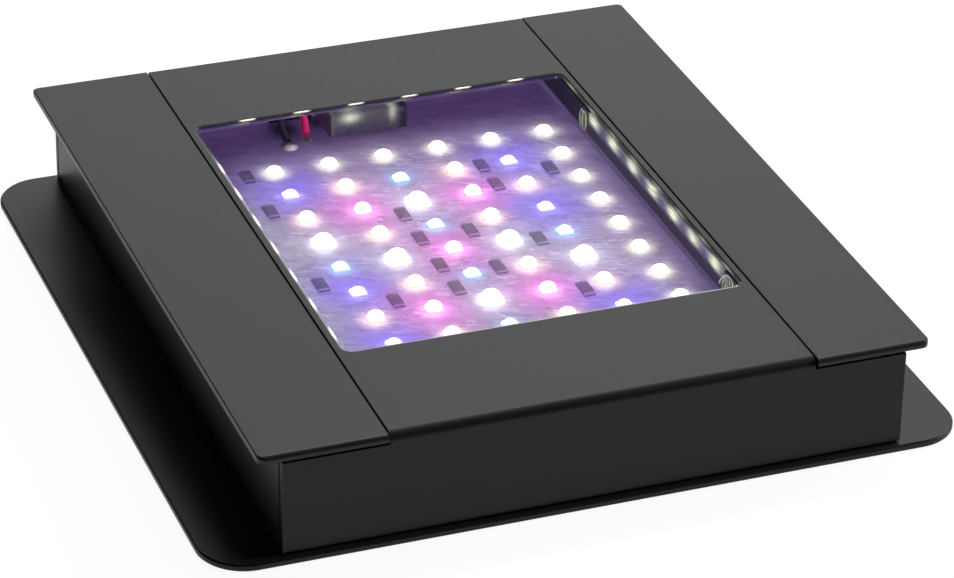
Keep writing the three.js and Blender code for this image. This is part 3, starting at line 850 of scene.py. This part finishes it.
def near_tint(x, y):
    """Colour of the nearby LEDs' light at the rim."""
    total = [0.0, 0.0, 0.0]
    for _, _, led_x, led_y, letter in LEDS:
        amount = bell(math.hypot(x - led_x, y - led_y), 9 * MM)
        total = [part + amount * (0.4 + 0.6 * tint) for part, tint in zip(total, LED_LIGHT[letter])]
    return total


def left_fade(y):
    """The left rim's light, which dies away towards the back."""
    return smooth(-y, -44 * MM, -30 * MM)


def side_of(x, y):
    """Which side of the window a rim point belongs to."""
    gaps = {
        "left": abs(x - BEAD_LOW[0]),
        "right": abs(x - BEAD_HIGH[0]),
        "near": abs(y - BEAD_LOW[1]),
        "far": abs(y - BEAD_HIGH[1]),
    }
    return min(gaps, key=gaps.get)


def bead_colour(x, y, outer):
    """Light in the sealant: dashes at the far side, fine lines along the others."""
    side = side_of(x, y)
    if side == "far":
        dash = smooth(column_glint(x, 1.9 * MM, FAR_SHIFT), 0.25, 0.75)
        line = 0.02 + 0.98 * dash
        return mixed(DARK_RIM, HOT_RIM, line if outer else 0.0)
    if side == "right":
        line = 0.0 if outer else 0.06 + 0.25 * row_glint(y, 2.4 * MM)
        return mixed((0.006, 0.006, 0.008), (0.85, 0.9, 0.68), line)
    if side == "left":
        lit = 0.12 + 0.88 * left_fade(y)
        return (0.15, 0.14, 0.15) if outer else scaled(lit, (0.3, 0.29, 0.32))
    return (0.22, 0.19, 0.24) if outer else (0.9, 0.75, 0.9)


# Heights at which the pane's rim carries its own painted light, from its underside up.
PANE_CHAMFER = 0.3 * MM
PANE_GLINT = 0.45 * MM
PANE_LEVELS = (
    (0.0, PANE_LOW[2]),
    (0.0, PANE_LOW[2] + PANE_GLINT),
    (0.0, PANE_HIGH[2] - PANE_CHAMFER),
    (PANE_CHAMFER, PANE_HIGH[2]),
)


def pane_colour(x, y, level):
    """Light in the pane's rim at one of its levels."""
    side = side_of(x, y)
    if side == "far":
        if level > 1:
            return DARK_RIM
        tint = row_tint(len(LED_ROWS) - 2, x, FAR_BLUR_SHIFT)
        return mixed((0.08, 0.035, 0.15), scaled(0.6, tint), 0.35 - 0.35 * level)
    if side == "right":
        glint = (0.05 + 0.3 * row_glint(y, 2.6 * MM)) * (level == 3)
        return mixed((0.01, 0.01, 0.014), (0.75, 0.8, 0.6), glint)
    if side == "left":
        fade = left_fade(y)
        glint = row_glint(y, 1.9 * MM) * fade
        # A painted faint glow along the left rim, under painted glints at the LED rows.
        faint_rim_glow = mixed((0.06, 0.05, 0.08), (0.36, 0.34, 0.42), fade)
        return mixed(faint_rim_glow, (3.0, 3.0, 2.8), glint if level == 3 else 0.6 * glint)
    light = [0.35 + 1.1 * part for part in near_tint(x, y)]
    return mixed((0.25, 0.18, 0.28), light, 0.4 + 0.2 * level)


LOOP_SPACING = 0.5 * MM
ARC_STEPS = 8


def window_loop(inset, z):
    """Points at a distance inside the window's outline, anticlockwise.

    The number of points doesn't depend on the distance, so nested loops match.
    """
    (x0, y0, _), (x1, y1, _) = BEAD_LOW, BEAD_HIGH
    radius = WINDOW_CORNER - inset
    counts = [round((y1 - y0) / LOOP_SPACING), round((x1 - x0) / LOOP_SPACING)] * 2
    corners = [
        (x1 - WINDOW_CORNER, y0 + WINDOW_CORNER, -90), (x1 - WINDOW_CORNER, y1 - WINDOW_CORNER, 0),
        (x0 + WINDOW_CORNER, y1 - WINDOW_CORNER, 90), (x0 + WINDOW_CORNER, y0 + WINDOW_CORNER, 180),
    ]

    def on_arc(corner, turn):
        x, y, start = corners[corner % 4]
        angle = math.radians(start + turn)
        return [x + radius * math.cos(angle), y + radius * math.sin(angle), z]

    points = []
    for index, count in enumerate(counts):
        points += [on_arc(index, 90 * step / ARC_STEPS) for step in range(ARC_STEPS + 1)]
        here, goal = points[-1], on_arc(index + 1, 0)
        points += [mixed(here, goal, step / count) for step in range(1, count)]
    return points


def skin(bm, loops, closed, material_index=0):
    """Joins nested loops of points into a ring-shaped skin and gives back its rings."""
    rings = [[bm.verts.new(point) for point in loop] for loop in loops]
    join_rings(bm, rings, material_index, closed)
    return rings


PANE_INSET = PANE_LOW[0] - BEAD_LOW[0]


def seal_bead():
    """The clear sealant in the joint round the pane, drawn up a little against the panel."""
    gap = 0.02 * MM
    sections = (
        (gap, BEAD_LOW[2], True),
        (gap, PANEL_TOP - 0.1 * MM, True),
        (PANE_INSET - gap, BEAD_HIGH[2] - 0.08 * MM, False),
        (PANE_INSET - gap, BEAD_LOW[2], False),
    )
    bm = lit_bmesh()
    rings = skin(bm, [window_loop(inset, z) for inset, z, _ in sections], closed=True)
    for ring, (_, _, outer) in zip(rings, sections):
        paint_glow(bm, lambda co: bead_colour(co.x, co.y, outer), ring)
    return bm


BEAD_LOOK = glowing("clear_sealant", (0.04, 0.04, 0.045), 1.0, 1.4 * MM, 0.7, 1.2, 0.15)
add_piece(seal_bead(), "window_seal_bead", "_clear", [BEAD_LOOK], 50)

PANE_LOOK = clear_pane()
PANE_EDGE = glowing("clear_pane_edge", (0.04, 0.05, 0.045), 1.0, 1.0 * MM, 0.75, 1.15, 0.1)


def pane():
    """The pane with its chamfered rim, whose edge shows the light that the sheet carries."""
    bm = lit_bmesh()
    loops = [window_loop(PANE_INSET + inset, z) for inset, z in PANE_LEVELS]
    rings = skin(bm, loops, closed=False, material_index=1)
    bm.faces.new(rings[-1])
    bm.faces.new(list(reversed(rings[0])))
    for level, ring in enumerate(rings):
        paint_glow(bm, lambda co: pane_colour(co.x, co.y, level), ring)
    return bm


add_piece(pane(), "window_pane", "_clear", [PANE_LOOK, PANE_EDGE], 20)


# ---- Clear strips under the pane's side rims ----------------------------------------------
# Stretch of the strips' noise, which draws out both their roughness grain and the streaks in their
# painted light.
STRIP_GRAIN_AND_LIGHT_STREAKS = (1, 0.12, 1.4)
STRIP_LOOK = glowing("clear_strip", (0.05, 0.05, 0.06), 1.0, 0.7 * MM, 0.45, 1.5, 0.12, STRIP_GRAIN_AND_LIGHT_STREAKS)
DROP_LOOK = glowing("sealant_drop", (0.05, 0.05, 0.06), 1.0, 0.9 * MM, 0.5, 1.3, 0.1)
STRIP_SHIFT = 1.2 * MM


def strip_colour(co, low, high):
    """Painted light: yellow-white streaks of glint beside each LED row, painted dark violet shade
    between them.
    """
    height = (co.z - low[2]) / (high[2] - low[2])
    strip_glint = row_glint(co.y, 2.5 * MM, 1.0, STRIP_SHIFT) * smooth(height, 0.1, 0.5)
    strip_glint *= 1 - 0.5 * smooth(height, 0.85, 1.0)
    between = mixed((0.045, 0.03, 0.1), (0.13, 0.12, 0.19), height)
    return mixed(between, (1.0, 1.05, 0.72), strip_glint)


def drop(bm, centre, along, across, deep, tilt, tone):
    """A long drop of clear sealant standing on a wall, drawn out along a tilted line, with stripes
    of painted highlight in the given colour.
    """
    glow = bm.verts.layers.float_color["glow"]
    up = Vector((0, math.sin(tilt), math.cos(tilt)))
    side = Vector((0, math.cos(tilt), -math.sin(tilt)))
    steps, sides = 8, 10
    rings = []
    for step in range(1, steps):
        angle = math.pi * step / steps
        ring = []
        for turn in range(sides):
            around = 2 * math.pi * turn / sides
            offset = side * across * math.cos(around) + Vector((deep * math.sin(around), 0, 0))
            place = Vector(centre) - up * along * math.cos(angle) + offset * math.sin(angle)
            vert = bm.verts.new(place)
            highlight_stripe = 0.12 + 0.88 * (turn in (2, 3, 4, 8))
            vert[glow] = (*scaled(highlight_stripe, tone), 1)
            ring.append(vert)
        rings.append(ring)
    tips = [bm.verts.new(Vector(centre) + up * along * sign) for sign in (-1, 1)]
    join_rings(bm, rings, 1)
    for turn in range(sides):
        after = (turn + 1) % sides
        bm.faces.new((rings[0][after], rings[0][turn], tips[0])).material_index = 1
        bm.faces.new((rings[-1][turn], rings[-1][after], tips[1])).material_index = 1


def clear_strip(node, inward):
    """A clear strip with drops of sealant at its ends, both carrying painted light; inward is the
    side that faces the light.
    """
    low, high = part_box(node)
    bm = lit_bmesh()
    box_part(bm, low, high, 0, 0, cuts=round((high[1] - low[1]) / (0.5 * MM)))
    upright = [edge for edge in bm.edges if abs(edge.verts[0].co.z - edge.verts[1].co.z) > 1 * MM]
    bmesh.ops.subdivide_edges(bm, edges=upright, cuts=5, use_grid_fill=True)
    paint_glow(bm, lambda co: strip_colour(co, low, high))
    face_x = low[0] if inward < 0 else high[0]
    for step in range(2):
        y = high[1] + (1.6 + 1.5 * step) * MM
        centre = (face_x + inward * 0.45 * MM, y, high[2] - 2.7 * MM)
        drop(bm, centre, 2.3 * MM, 0.65 * MM, 0.5 * MM, 0.06, (0.8, 0.85, 0.62))
    for step in range(5):
        y = low[1] - (0.2 + 1.2 * step) * MM
        centre = (face_x + inward * 0.4 * MM, y, high[2] - (2.0 - 0.1 * step) * MM)
        drop(bm, centre, 2.5 * MM, 0.42 * MM, 0.35 * MM, -0.7 + 0.3 * step, (0.95, 0.97, 0.82))
    add_piece(bm, node, "_glued", [STRIP_LOOK, DROP_LOOK], 50)


clear_strip("pane_strip_left", 1)
clear_strip("pane_strip_right", -1)


# ---- Terminal block and the two leads -----------------------------------------------------
TERMINAL_LOOK = glowing("terminal_grey", (0.05, 0.05, 0.06), 1.0, 2.4 * MM, 0.85, 1.1, 0.3)
# Painted highlights on the terminal block's front: (x, height over the board, half widths,
# strength).
TERMINAL_SPOTS = (
    (-5.6 * MM, 4.2 * MM, 2.0 * MM, 1.1 * MM, 0.9),
    (4.2 * MM, 4.4 * MM, 0.8 * MM, 1.8 * MM, 0.6),
)


def terminal_tone(co, low, high):
    """Painted light on the block: grey-violet, lighter towards the top and at the left end, painted
    shade at the right end and on the left face, and two painted highlights.
    """
    along = (co.x - low[0]) / (high[0] - low[0])
    rise = smooth(co.z, low[2], high[2])
    tone = mixed((0.055, 0.04, 0.085), (0.085, 0.08, 0.1), rise)
    tone = mixed(tone, (0.014, 0.008, 0.026), smooth(along, 0.84, 0.93))
    tone = mixed(tone, (0.13, 0.11, 0.15), 0.6 * smooth(-along, -0.1, -0.03))
    tone = mixed(tone, (0.02, 0.012, 0.03), smooth(-along, -0.02, -0.01))
    for x, up, half_x, half_z, strength in TERMINAL_SPOTS:
        shine = strength * spot(co.x - x, co.z - low[2] - up, half_x, half_z)
        tone = mixed(tone, (0.9, 0.92, 0.72), shine)
    return tone


def grid_box(bm, low, high, step, round_by):
    """A closed box whose faces are fine grids, with its edges drawn in to a radius."""
    counts = [max(2, round((high[i] - low[i]) / step)) for i in range(3)]
    made = {}

    def vert_at(cell):
        if cell not in made:
            place = [low[i] + (high[i] - low[i]) * cell[i] / counts[i] for i in range(3)]
            core = [min(max(place[i], low[i] + round_by), high[i] - round_by) for i in range(3)]
            core[2] = min(place[2], high[2] - round_by)
            away = Vector([place[i] - core[i] for i in range(3)])
            if away.length > 0:
                place = Vector(core) + away.normalized() * min(round_by, away.length)
            made[cell] = bm.verts.new(place)
        return made[cell]

    for axis in range(3):
        first, second = [other for other in range(3) if other != axis]
        for end in (0, counts[axis]):
            for i in range(counts[first]):
                for j in range(counts[second]):
                    corners = []
                    for di, dj in ((0, 0), (1, 0), (1, 1), (0, 1)):
                        cell = [0, 0, 0]
                        cell[axis], cell[first], cell[second] = end, i + di, j + dj
                        corners.append(vert_at(tuple(cell)))
                    bm.faces.new(corners)


def terminal_block():
    """A moulded block with rounded shoulders, whose light, shade and two soft highlights are
    painted into its glow.
    """
    node = "terminal_block"
    low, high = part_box(node)
    bm = lit_bmesh()
    grid_box(bm, low, high, 0.35 * MM, 0.8 * MM)
    paint_glow(bm, lambda co: terminal_tone(co, low, high))
    add_piece(bm, node, "_moulded", [TERMINAL_LOOK], 50)


terminal_block()

# The leads' runs, from the grommet to their solder pads: (x, y, height above the board).
LEAD_RADIUS = 0.85 * MM
LEAD_RUNS = {
    "lead_red": (
        (-13.5, 69.3, 1.4), (-13.5, 66, 1.4), (-13.5, 62.5, 1.4),
        (-14.2, 59, 1.2), (-15.3, 55, 0.9),
    ),
    "lead_black": (
        (-18.5, 69.3, 1.4), (-18.5, 66, 1.4), (-18.5, 62.5, 1.4),
        (-19.8, 58.5, 1.2), (-20.1, 53.5, 0.9),
    ),
}


def spline(points, t):
    """A point on a Catmull-Rom curve through the points, for t from 0 to 1."""
    spans = len(points) - 1
    index = min(int(t * spans), spans - 1)
    part = t * spans - index
    around = [Vector(points[min(max(index + shift, 0), spans)]) for shift in (-1, 0, 1, 2)]
    before, start, end, after = around
    turn = (end - before) * part + (2 * before - 5 * start + 4 * end - after) * part**2
    return start + 0.5 * (turn + (3 * start - before - 3 * end + after) * part**3)


def lead(node, tone, shine, joint_radius, joint_shine):
    """A round insulated lead whose lit colour and soft highlight are painted into its glow, with a
    solder joint at its end that can carry a painted gleam.
    """
    board = BOARD_HIGH[2]
    points = [(x * MM, y * MM, board + z * MM) for x, y, z in LEAD_RUNS[node]]
    bm = lit_bmesh()
    glow = bm.verts.layers.float_color["glow"]
    steps, sides = 40, 14
    rings = []
    for step in range(steps + 1):
        t = step / steps
        here = spline(points, t)
        ahead = spline(points, min(1.0, t + 0.01)) - spline(points, max(0.0, t - 0.01))
        across = ahead.cross(Vector((0, 0, 1))).normalized()
        up = across.cross(ahead).normalized()
        ring = []
        for turn in range(sides):
            angle = 2 * math.pi * turn / sides
            outward = across * math.cos(angle) + up * math.sin(angle)
            vert = bm.verts.new(here + outward * LEAD_RADIUS)
            # A painted highlight along the lead, which fades out towards the grommet.
            light = bell(angle - math.pi * 0.62, 0.75) * smooth(-here.y, -64 * MM, -60 * MM)
            vert[glow] = (*mixed(scaled(0.35, tone), shine, light), 1)
            ring.append(vert)
        rings.append(ring)
    join_rings(bm, rings)
    bm.faces.new(rings[0])
    bm.faces.new(list(reversed(rings[-1])))
    end = Vector(points[-1])
    joint = lens(bm, end.x, end.y - 1.4 * MM, board + 0.01 * MM, joint_radius, 0.6 * MM)
    for vert in joint:
        near_side = smooth(end.y - 1.4 * MM - vert.co.y, -0.2 * MM, joint_radius * 0.6)
        gleam = near_side * bell(vert.co.x - end.x - 0.3 * MM, joint_radius * 0.7)
        vert[glow] = (*mixed((0.02, 0.012, 0.04), (0.85, 0.66, 0.85), gleam * joint_shine), 1)
        for face in vert.link_faces:
            face.material_index = 1
    add_piece(bm, node, "_soldered", [LEAD_LOOK, SOLDER_LIT], 60)


LEAD_LOOK = glowing("lead_insulation", (0.02, 0.02, 0.02), 1.0, 1.5 * MM, 0.85, 1.1, 0.35)
lead("lead_red", (0.5, 0.012, 0.09), (0.78, 0.03, 0.2), 0.9 * MM, 0.0)
lead("lead_black", (0.01, 0.006, 0.018), (0.035, 0.028, 0.05), 2.1 * MM, 1.0)


# ---- CAD nodes whose shape stays: each gets its material ----------------------------------
def frame_plastic():
    """The light frame's dark plastic, which picks up the LEDs' light in a band over the board."""
    look = Look("light_frame_plastic", Base_Color=(0.02, 0.018, 0.024, 1), Emission_Strength=1.0)
    cloud = look.noise(6 * MM, stretch=(1, 0.4, 1), detail=4)
    grain = look.noise(0.3 * MM, detail=2)
    height = look.node("ShaderNodeSeparateXYZ", {"Vector": look.place()}).outputs[2]
    foot = BOARD_HIGH[2] + 1.6 * MM
    near_board = look.ramp(height, foot - 0.3 * MM, foot + 0.3 * MM, 1, 0)
    dark = look.blend(cloud, (0.004, 0.003, 0.014), (0.02, 0.014, 0.036))
    lit = look.blend(cloud, (0.06, 0.04, 0.12), (0.13, 0.1, 0.2))
    look.feed("Emission Color", look.blend(near_board, dark, lit))
    look.feed("Roughness", look.ramp(grain, 0.3, 0.7, 0.4, 0.55))
    look.feed("Normal", look.bump(grain, 0.01 * MM, 0.5))
    return look.material


KEPT_LOOKS = {
    "black_rubber": RUBBER,
    "black_plastic": BLACK_PLASTIC,
    "bare_aluminium": ALUMINIUM,
    "grey_thermal_pad": THERMAL_PAD,
    "bright_steel": STEEL,
}
FRAME_LOOK = frame_plastic()
for node_name, node_object in NODES.items():
    look = FRAME_LOOK if node_name == "light_frame" else KEPT_LOOKS.get(SLOTS[node_name])
    if look is None:
        continue
    node_object.data.materials.clear()
    node_object.data.materials.append(look)


# ---- Floor, world, lights and camera ------------------------------------------------------
def floor():
    bm = bmesh.new()
    bmesh.ops.create_grid(bm, x_segments=1, y_segments=1, size=6)
    bmesh.ops.translate(bm, vec=(0, 0, -0.05 * MM), verts=bm.verts)
    made = new_object("floor", plain_mesh(bm, "floor"))
    look = Look(
        "floor", Roughness=0.9, Specular_IOR_Level=0.0, Base_Color=(0.25, 0.25, 0.25, 1),
        Emission_Color=(1, 1, 1, 1), Emission_Strength=0.93,
    )
    made.data.materials.append(look.material)
    made.visible_diffuse = False


def world():
    """A dim studio that is a little lighter overhead, and plain white behind the floor's edge."""
    made = bpy.data.worlds.new("studio")
    bpy.context.scene.world = made
    made.use_nodes = True
    tree = made.node_tree
    where = add_node(tree, "ShaderNodeTexCoord").outputs["Generated"]
    height = add_node(tree, "ShaderNodeSeparateXYZ", {0: where}).outputs[2]
    inputs = {"Value": height, "From Min": -0.05, "From Max": 0.35, "To Min": 0.02, "To Max": 0.04}
    dim = add_node(tree, "ShaderNodeMapRange", inputs).outputs[0]
    seen = add_node(tree, "ShaderNodeLightPath").outputs["Is Camera Ray"]
    strength = add_node(tree, "ShaderNodeMix", {0: seen, 2: dim, 3: 1.0}).outputs[0]
    tree.links.new(strength, tree.nodes["Background"].inputs["Strength"])


LIGHT_TARGET = (0, 0, 10 * MM)


def area_light(name, place, size, power):
    data = bpy.data.lights.new(name, "AREA")
    data.shape = "RECTANGLE"
    data.size, data.size_y = size
    data.energy = power
    made = new_object(name, data)
    made.location = place
    aim = Vector(LIGHT_TARGET) - Vector(place)
    made.rotation_euler = aim.to_track_quat("-Z", "Y").to_euler()


def camera():
    """Long lens from the front left, a little above."""
    azimuth = math.radians(-20.832)
    elevation = math.radians(29.275)
    roll = math.radians(1.113)
    distance, aside, above = 0.87380, 4.42 * MM, 4.33 * MM
    back = Vector((
        math.sin(azimuth) * math.cos(elevation),
        -math.cos(azimuth) * math.cos(elevation),
        math.sin(elevation),
    ))
    right = (-back).cross(Vector((0, 0, 1))).normalized()
    up = back.cross(right)
    data = bpy.data.cameras.new("camera")
    data.sensor_width = 36
    data.lens = 155.2
    data.clip_end = 20
    made = new_object("camera", data)
    turned_right = right * math.cos(roll) + up * math.sin(roll)
    turned_up = up * math.cos(roll) - right * math.sin(roll)
    axes = Matrix((turned_right, turned_up, back)).transposed().to_4x4()
    made.matrix_world = Matrix.Translation(back * distance + right * aside + up * above) @ axes
    bpy.context.scene.camera = made


floor()
world()
camera()
area_light("key", (0.5, 0.9, 1.3), (0.8, 0.8), 8.6)
area_light("right", (1.2, 0.0, 0.7), (0.8, 0.5), 8.5)
area_light("back_low", (0.3, 1.5, 0.3), (1.6, 0.3), 2.2)
area_light("back", (0.45, 1.4, 0.6), (1.2, 0.2), 2.5)
bpy.context.scene.view_settings.view_transform = "Standard"
